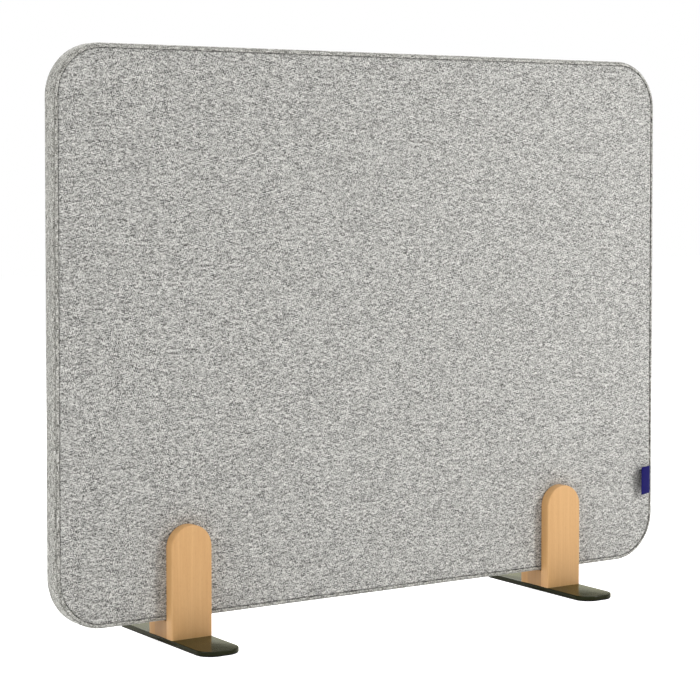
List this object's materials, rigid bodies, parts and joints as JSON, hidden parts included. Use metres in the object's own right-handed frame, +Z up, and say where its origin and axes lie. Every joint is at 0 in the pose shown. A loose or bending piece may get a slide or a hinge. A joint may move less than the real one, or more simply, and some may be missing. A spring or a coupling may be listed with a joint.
{
  "type": "acoustic desk divider",
  "caption": "Padded cloth-covered panel with rounded corners, standing in forked beech feet on flat steel base plates; the feet slide along its lower edge.",
  "frame": {"origin": "on the desk, under the middle of the panel and midway between the front and rear ends of the base plates", "axes": "+X along the panel to the right as seen from the front, +Y to the rear, +Z up; the front face looks along -Y"},
  "size_m": [0.8, 0.186, 0.6245],
  "materials": {
    "cover_cloth": "melange woven cloth",
    "thread": "spun polyester thread",
    "absorber_felt": "needled polyester felt",
    "hardboard": "pressed wood fibre",
    "label_ribbon": "woven satin ribbon",
    "black_steel": "gloss black powder coat",
    "pad_rubber": "matt foam rubber",
    "beech": "clear matt lacquer",
    "dowel_beech": "raw turned beech",
    "zinc_steel": "zinc-plated"
  },
  "bodies": {
    "panel": {"front_cover": "cover_cloth", "rear_cover": "cover_cloth", "edge_band": "cover_cloth", "front_topstitch": "thread", "rear_topstitch": "thread", "front_absorber": "absorber_felt", "rear_absorber": "absorber_felt", "core_board": "hardboard", "label": "label_ribbon"},
    "left_foot": {"left_base_plate": "black_steel", "left_anti_slip_pad": "pad_rubber", "left_spacer_block": "beech", "left_front_cheek": "beech", "left_rear_cheek": "beech", "left_cheek_dowels": "dowel_beech", "left_plate_screws": "zinc_steel"},
    "right_foot": {"right_base_plate": "black_steel", "right_anti_slip_pad": "pad_rubber", "right_spacer_block": "beech", "right_front_cheek": "beech", "right_rear_cheek": "beech", "right_cheek_dowels": "dowel_beech", "right_plate_screws": "zinc_steel"}
  },
  "joints": [
    {"name": "left_foot_slide", "type": "slide", "parent": "panel", "child": "left_foot", "axis": [1, 0, 0], "range_m": [-0.071, 0.216]},
    {"name": "right_foot_slide", "type": "slide", "parent": "panel", "child": "right_foot", "axis": [1, 0, 0], "range_m": [-0.216, 0.071]}
  ]
}
